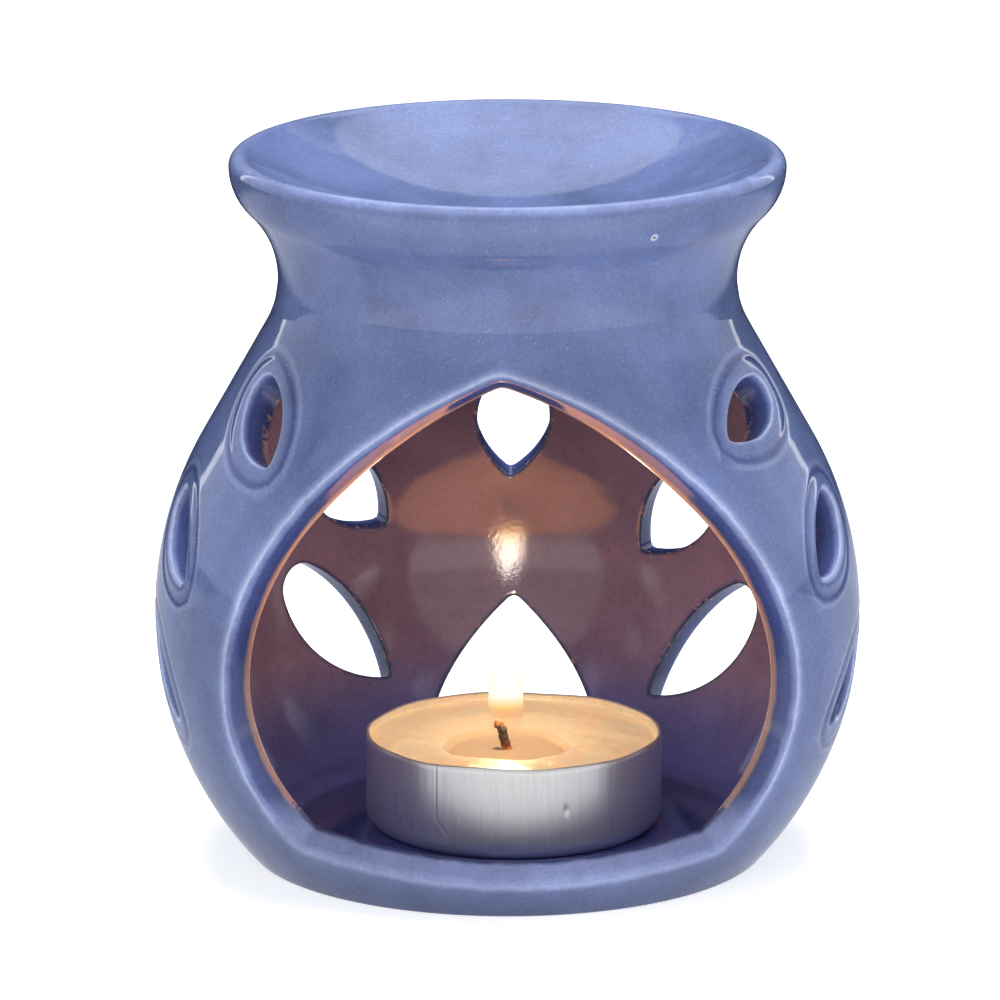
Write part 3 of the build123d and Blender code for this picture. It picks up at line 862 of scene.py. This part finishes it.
def wax_mesh():
    """Wax turned from its section, with its top raised by the bank, the ring of skin and gentle waves.

    The bank climbs from the pool as c^0.8 (1.6 - 0.6 c), where c goes from 0 at the pool to 1, the ring is
    a bell curve round an oval, and the waves are sines in random directions.
    """
    pool, top = cup_height - pool_below_rim, cup_height - wax_below_rim
    reach = np.concatenate([[0], np.linspace(0.6, wax_radius - wax_chamfer, 64)])[::-1]
    corner = cup_corner - cup_wall
    low = arc((wax_radius - corner, cup_wall + corner), corner, -pi / 2, 0, step=0.5)[:, :2]
    under = np.linspace((0, cup_wall), (wax_radius - corner, cup_wall), 6)
    side = np.linspace((wax_radius, cup_wall + corner), (wax_radius, top - wax_chamfer), 5)
    upper = np.column_stack([reach, np.full(len(reach), top)])
    line = np.vstack([under[:-1], low[:-1], side, upper])
    columns = 200
    turns = full_turn(columns)
    radius, height = line[1:-1, :1] * np.ones(columns), line[1:-1, 1:2]
    x, y = radius * np.sin(turns), -radius * np.cos(turns)
    from_pool = np.hypot(x + 0.9, y + 0.2) + 0.35 * np.cos(3 * turns + 0.4) + 0.2 * np.cos(5 * turns + 2.0)
    climb = np.clip((from_pool - pool_radius + 0.4) / (bank_radius - pool_radius), 0, 1)
    climb = climb**0.8 * (1.6 - 0.6 * climb)
    lift = (pool - top) * (1 - climb)
    skin = np.hypot((x + 12.5) / 3.2, (y + 5.0) / 3.6)
    lift = lift + 0.22 * bell(skin, 1, 0.14) - 0.1 * (skin < 1)
    shake = np.random.default_rng(11)
    for waves, size in ((0.9, 0.03), (1.6, 0.02), (2.9, 0.012)):
        for _ in range(4):
            way, start = shake.uniform(0, 2 * pi, 2)
            lift += size * climb * np.sin(waves * (x * cos(way) + y * sin(way)) + start)
    lift = np.where(height > top - 0.05, lift - 0.1 * (radius > wax_radius - 1.0), 0.0)
    line[-1, 1] = pool
    return lathe(line, columns, 0.0, lift)


wax = make_piece("candle_wax", *wax_mesh(), place=candle)


def candle_wax():
    """Paraffin wax: translucent, so light spreads a few millimetres inside it, and wet where it is molten.

    Its IOR is 1.44. The flat pool is glossy, and the set wax round it has grains about 0.45 mm across. Its
    mirror image in the glaze gets a painted orange glow that stands for the light of its own flame, so it is
    brighter there than the camera's exposure shows it.
    """
    material = bpy.data.materials.new("candle_wax")
    node = node_adder(material)
    place = node("TexCoord").outputs["Object"]
    height = node("SeparateXYZ", {0: place}).outputs["Z"]
    pool_top = (floor_top + cup_height - pool_below_rim) * MM
    set_hard = node("MapRange",
                    {"Value": height, "From Min": pool_top + 0.1 * MM, "From Max": pool_top + 0.7 * MM})
    grains = node("TexNoise", {"Vector": place, "Scale": 1 / (0.45 * MM), "Detail": 3.0, "Roughness": 0.6})
    bumps = node("Math", {0: grains, 1: set_hard}, operation="MULTIPLY")
    bump = node("Bump", {"Strength": 0.8, "Distance": 0.12 * MM, "Height": bumps})
    gloss = node("MapRange", {"Value": set_hard, "To Min": 0.06, "To Max": 0.30})
    tone = node("Mix", {0: set_hard, 6: "#dcbc90", 7: "#e4cba4"}, data_type="RGBA")
    paths = node("LightPath")
    # A painted orange glow, seen only in mirror images and stronger further off, stands for the flame's light
    # on the wax
    far = node("MapRange", {"Value": paths.outputs["Ray Length"], "From Min": 8 * MM, "From Max": 20 * MM,
                            "To Max": 2.4})
    mirror_glow = node("Math", {0: paths.outputs["Is Glossy Ray"], 1: far}, operation="MULTIPLY")
    body = node("BsdfPrincipled", {"Base Color": tone, "Roughness": gloss, "IOR": 1.44,
                                   "Subsurface Weight": 0.6, "Subsurface Radius": (1.0, 0.5, 0.25),
                                   "Subsurface Scale": 2.5 * MM, "Normal": bump, "Emission Color": "#ff9a50",
                                   "Emission Strength": mirror_glow})
    node("OutputMaterial", {0: body})
    return material


wax.data.materials.append(candle_wax())
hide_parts("wax")
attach(wax, "tealight")


# Wick: braided cotton, crimped in the sustainer and standing out of the pool. It has burnt black, bends
# over to the left at its end, and the tip glows.
wick_radius = 0.62
wick_sides = 24
wick_step = 0.08
plait_depth = 0.08
wick_points = [(0.8, 4.9), (0.8, 8.9), (0.45, 12.0), (-0.1, 14.6), (-0.55, 16.2), (-0.8, 17.2),
               (-1.15, 17.55), (-1.5, 17.1)]


def tube(line, radius, sides, y):
    """Closed tube round a line of x and z in the plane of y, with a radius for each point and side.

    The ring at a point is line + radius * (normal * cos a + Y * sin a), and the ends are closed by a point.
    """
    run = np.gradient(line, axis=0)
    run /= np.linalg.norm(run, axis=1)[:, None]
    turns = full_turn(sides)
    x = line[:, :1] + radius * np.cos(turns) * run[:, 1:]
    z = line[:, 1:] - radius * np.cos(turns) * run[:, :1]
    rows = np.stack([x, y + radius * np.sin(turns), z], -1)
    return closed_skin(rows, [line[0, 0], y, line[0, 1]], [line[-1, 0], y, line[-1, 1]])


wick_line = smooth_line(wick_points, wick_step)
wick_turns = full_turn(wick_sides)
wick_runs = np.arange(len(wick_line))[:, None] * wick_step
plaits = np.sin(3 * wick_turns + 3.4 * wick_runs) * np.sin(3 * wick_turns - 3.4 * wick_runs)
end_taper = np.clip((len(wick_line) - np.arange(len(wick_line)))[:, None] / 8, 0.25, 1) ** 0.5
wick_sizes = (wick_radius + plait_depth * plaits) * end_taper
wick = make_piece("burnt_wick", *tube(wick_line, wick_sizes, wick_sides, candle[1]))


def burnt_cotton():
    """Charred cotton braid: rough and black, reddish lower down, soaked at its foot, aglow at its tip."""
    material = bpy.data.materials.new("burnt_cotton")
    node = node_adder(material)
    place = node("TexCoord").outputs["Object"]
    height = node("SeparateXYZ", {0: place}).outputs["Z"]
    climb = node("MapRange", {"Value": height, "From Min": 14.0 * MM, "From Max": 18.0 * MM})
    tone = node("ValToRGB", {"Fac": climb},
                stops=[(0.05, "#c98a52"), (0.22, "#6b3524"), (0.5, "#1c1212"), (1.0, "#0d0b0c")])
    glow = node("ValToRGB", {"Fac": climb}, stops=[(0.70, 0.0), (0.86, 1.0)])
    fibres = node("TexNoise", {"Vector": place, "Scale": 1 / (0.2 * MM), "Detail": 3.0})
    patches = node("Math", {0: fibres, 1: glow}, operation="MULTIPLY")
    embers = node("MapRange", {"Value": patches, "From Min": 0.45, "From Max": 0.7, "To Max": 2.0})
    bump = node("Bump", {"Strength": 0.7, "Distance": 0.1 * MM, "Height": fibres})
    char = node("BsdfPrincipled", {"Base Color": tone, "Roughness": 0.9, "Normal": bump,
                                   "Emission Color": "#ff7a22", "Emission Strength": embers})
    node("OutputMaterial", {0: char})
    return material


wick.data.materials.append(burnt_cotton())
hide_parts("wick")
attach(wick, "tealight")


# Flame: burning wax vapour round the top of the wick, white hot above and almost clear round the wick. It
# isn't a solid thing, so it replaces nothing, and two small lamps give its light and its glint.
flame_x = -0.2
flame_bottom = 15.2
flame_top = 27.1
flame_radius = 2.25


def flame_mesh():
    """Bullet shape turned about the flame's axis: r = R (1 - |2 t^0.85 - 1|^2.3)^0.62, z rising with t."""
    share = np.linspace(0, 1, 60)
    radius = flame_radius * (1 - np.abs(2 * share**0.85 - 1) ** 2.3) ** 0.62
    line = np.column_stack([radius, flame_bottom + (flame_top - flame_bottom) * share])
    return lathe(line, 48)


flame = make_piece("flame", *flame_mesh(), place=(flame_x, candle[1], 0))


def burning_vapour():
    """Candle flame: it only gives light, warm white where soot glows, and is see-through near the wick.

    It is far brighter in a mirror image than the camera, which clips it, sees it.
    """
    material = bpy.data.materials.new("burning_vapour")
    node = node_adder(material)
    place = node("TexCoord").outputs["Object"]
    height = node("SeparateXYZ", {0: place}).outputs["Z"]
    climb = node("MapRange", {"Value": height, "From Min": flame_bottom * MM, "From Max": flame_top * MM})
    core = node("ValToRGB", {"Fac": climb},
                stops=[(0.0, "#c9a9a0"), (0.34, "#ffb066"), (0.44, "#ffd98a"), (0.56, "#fffaf0")])
    rim = node("ValToRGB", {"Fac": climb},
               stops=[(0.0, "#e0ccd0"), (0.36, "#ffc48c"), (0.50, "#ffefc4"), (1.0, "#fff6e0")])
    grazing = node("LayerWeight", {"Blend": 0.35}).outputs["Facing"]
    tone = node("Mix", {0: grazing, 6: core, 7: rim}, data_type="RGBA")
    body = node("ValToRGB", {"Fac": climb},
                stops=[(0.0, 0.03), (0.30, 0.10), (0.40, 0.75), (0.46, 1.0), (0.92, 0.95), (1.0, 0.6)])
    edge = node("MapRange", {"Value": grazing, "From Min": 0.6, "From Max": 1.0, "To Max": 0.35})
    solid = node("Math", {0: body, 1: edge}, operation="MAXIMUM")
    strength = node("MapRange",
                    {"Value": climb, "From Min": 0.3, "From Max": 0.6, "To Min": 0.9, "To Max": 1.15})
    paths = node("LightPath")
    power = node("MapRange", {"Value": paths.outputs["Is Camera Ray"], "To Min": 20.0, "To Max": 1.0})
    power = node("Math", {0: power, 1: strength}, operation="MULTIPLY")
    light = node("Emission", {"Color": tone, "Strength": power})
    clear = node("BsdfTransparent")
    passing = node("Math", {0: paths.outputs["Is Diffuse Ray"], 1: paths.outputs["Is Shadow Ray"]},
                   operation="MAXIMUM")
    shown = node("MapRange", {"Value": passing, "To Min": 1.0, "To Max": 0.0})
    shown = node("Math", {0: solid, 1: shown}, operation="MULTIPLY")
    mixed = node("MixShader", {0: shown, 1: clear, 2: light})
    node("OutputMaterial", {0: mixed})
    return material


flame.data.materials.append(burning_vapour())
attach(flame, "tealight")


def flame_light(name, height, power, colour):
    """Small round lamp on the flame's axis."""
    data = bpy.data.lights.new(name, "POINT")
    data.energy = power
    data.color = hex_linear(colour)[:3]
    data.shadow_soft_size = 1.6 * MM
    lamp = put_in_scene(name, data)
    lamp.location = (flame_x * MM, candle[1] * MM, height * MM)
    return lamp


flame_light("flame_lamp", 40.0, 0.029, "#ffe8d2").visible_glossy = False
flame_light("flame_glint", 22.0, 0.03, "#ffb066").visible_diffuse = False


# Studio: a plain white surface, a white surround for the camera, soft lamps from above and the sides, and
# a dimmer zone behind the object that the glaze mirrors along its edges.
floor_half = 1.5
floor_mesh = bpy.data.meshes.new("floor")
floor_corners = [(x * floor_half, y * floor_half, 0) for x, y in ((-1, -1), (1, -1), (1, 1), (-1, 1))]
floor_mesh.from_pydata(floor_corners, [], [(0, 1, 2, 3)])
floor = put_in_scene("floor", floor_mesh)


def white_paper():
    """Matt white paper. The camera sees it a little brighter than its light, so that it shows as white.

    The glaze mirrors it as bright in front, pale near the object and dark further back, where it ends.
    """
    material = bpy.data.materials.new("white_paper")
    node = node_adder(material)
    paths = node("LightPath")
    seen = node("Math", {0: paths.outputs["Is Camera Ray"], 1: paths.outputs["Is Transmission Ray"]},
                operation="MAXIMUM")
    paper = node("BsdfDiffuse", {"Color": "#e8e8ea"})
    glow = node("Emission", {"Color": "#ffffff", "Strength": 0.66})
    lit = node("AddShader", {0: paper, 1: glow})
    place = node("TexCoord").outputs["Object"]
    depth = node("SeparateXYZ", {0: place}).outputs["Y"]
    back = node("MapRange", {"Value": depth, "From Min": -80 * MM, "From Max": 260 * MM})
    mirror_glow = node("ValToRGB", {"Fac": back},
                    stops=[(0.0, "#f2f0ee"), (0.18, "#c4c7d4"), (0.74, "#c9ccd8"), (1.0, "#10132a")])
    in_front = node("MapRange", {"Value": depth, "From Min": -130 * MM, "From Max": -90 * MM, "To Min": 1.7,
                                 "To Max": 1.0})
    mirror = node("Emission", {"Color": mirror_glow, "Strength": in_front})
    matt = node("MixShader", {0: paths.outputs["Is Glossy Ray"], 1: paper, 2: mirror})
    mixed = node("MixShader", {0: seen, 1: matt, 2: lit})
    node("OutputMaterial", {0: mixed})
    return material


floor_mesh.materials.append(white_paper())

# The glaze mirrors a surround of pale walls with a white stripe, a dark zone behind, a ceiling that is
# dimmer behind, and a soft box overhead. The camera sees white, and the object gets an even fill.
world = bpy.data.worlds.new("studio")
bpy.context.scene.world = world
node = node_adder(world)
sky_paths = node("LightPath")
sky_way = node("TexCoord").outputs["Generated"]
sky_x, sky_y, sky_z = node("SeparateXYZ", {0: sky_way}).outputs
sky_turn = node("MapRange", {"Value": sky_y, "From Min": -1.0})
sides = node("ValToRGB", {"Fac": sky_turn}, stops=[(0.0, "#e6e4e0"), (0.55, "#dcdfe9"), (0.868, "#e4e7f0"),
                                                   (0.874, "#ffffff"), (0.890, "#ffffff"),
                                                   (0.896, "#0b0e24")])
ceiling = node("ValToRGB", {"Fac": sky_z}, stops=[(0.36, 1.0), (0.50, 0.16)])
in_front = node("MapRange",
                {"Value": sky_y, "From Min": -0.15, "From Max": 0.1, "To Min": 0.9, "To Max": 0.0})
ceiling = node("Math", {0: ceiling, 1: in_front}, operation="MAXIMUM")
around = node("Mix", {0: 1.0, 6: sides, 7: ceiling}, data_type="RGBA", blend_type="MULTIPLY")
sky_right = node("Math", {0: sky_x, 1: sky_z}, operation="DIVIDE")
sky_back = node("Math", {0: sky_y, 1: sky_z}, operation="DIVIDE")
box_place = node("CombineXYZ", {"X": sky_right, "Y": sky_back})
box_oval = node("Mapping",
                {"Vector": box_place, "Location": (0.0, -1.51, 0.0), "Scale": (1 / 0.47, 1 / 0.68, 1.0)})
box_reach = node("VectorMath", {0: box_oval}, operation="LENGTH")
box_edge = node("ValToRGB", {"Fac": box_reach}, stops=[(0.62, 0.85), (0.66, 1.0), (0.97, 1.0), (1.0, 0.0)])
above = node("Math", {0: sky_z, 1: 0.0}, operation="GREATER_THAN")
box = node("Math", {0: box_edge, 1: above}, operation="MULTIPLY")
sky_seen = node("Math", {0: sky_paths.outputs["Is Camera Ray"], 1: sky_paths.outputs["Is Transmission Ray"]},
                operation="MAXIMUM")
white_sky = node("Background", {"Color": "#ffffff", "Strength": 1.0})
fill_sky = node("Background", {"Color": "#dfe2ea", "Strength": 0.32})
stripe = node("ValToRGB", {"Fac": sky_turn}, stops=[(0.866, 0.0), (0.874, 1.0), (0.890, 1.0), (0.896, 0.0)])
stripe = node("Math", {0: stripe, 1: 1.6, 2: 1.0}, operation="MULTIPLY_ADD")
mirror_sky = node("Background", {"Color": around, "Strength": stripe})
box_power = node("MapRange",
                 {"Value": sky_back, "From Min": 0.35, "From Max": 1.7, "To Min": 1.9, "To Max": 0.6})
soft_box = node("Background", {"Color": "#ffffff", "Strength": box_power})
studio = node("MixShader", {0: box, 1: mirror_sky, 2: soft_box})
studio = node("MixShader", {0: sky_paths.outputs["Is Glossy Ray"], 1: fill_sky, 2: studio})
sky_mix = node("MixShader", {0: sky_seen, 1: studio, 2: white_sky})
node("OutputWorld", {0: sky_mix})


pot_middle = Vector((0, 0, 45))


def soft_lamp(name, place, size, power):
    """Area lamp of a size at a place in millimetres, facing the pot. The surround gives its mirror image."""
    data = bpy.data.lights.new(name, "AREA")
    data.shape = "RECTANGLE"
    data.size, data.size_y = (side * MM for side in size)
    data.energy = power
    lamp = put_in_scene(name, data)
    lamp.location = Vector(place) * MM
    lamp.rotation_euler = (pot_middle - Vector(place)).to_track_quat("-Z", "Y").to_euler()
    lamp.visible_glossy = False


soft_lamp("top_lamp", (0, 150, 700), (500, 400), 5.0)
soft_lamp("front_lamp", (-250, -700, 450), (600, 450), 2.2)
soft_lamp("right_lamp", (600, -350, 300), (300, 500), 1.4)


# Camera: where the photograph was taken from, a little above the dish and about a metre away, through a
# long lens that fills the frame with the object.
looking_down = 13.966
camera_data = bpy.data.cameras.new("camera")
camera_data.lens = 308.47
camera_data.sensor_width = 36.0
camera_data.clip_start = 0.05
camera = put_in_scene("camera", camera_data)
camera.location = (-0.95 * MM, -1061.66 * MM, 309.69 * MM)
camera.rotation_euler = (radians(90 - looking_down), 0, 0)
bpy.context.scene.camera = camera
bpy.context.scene.view_settings.view_transform = "Standard"
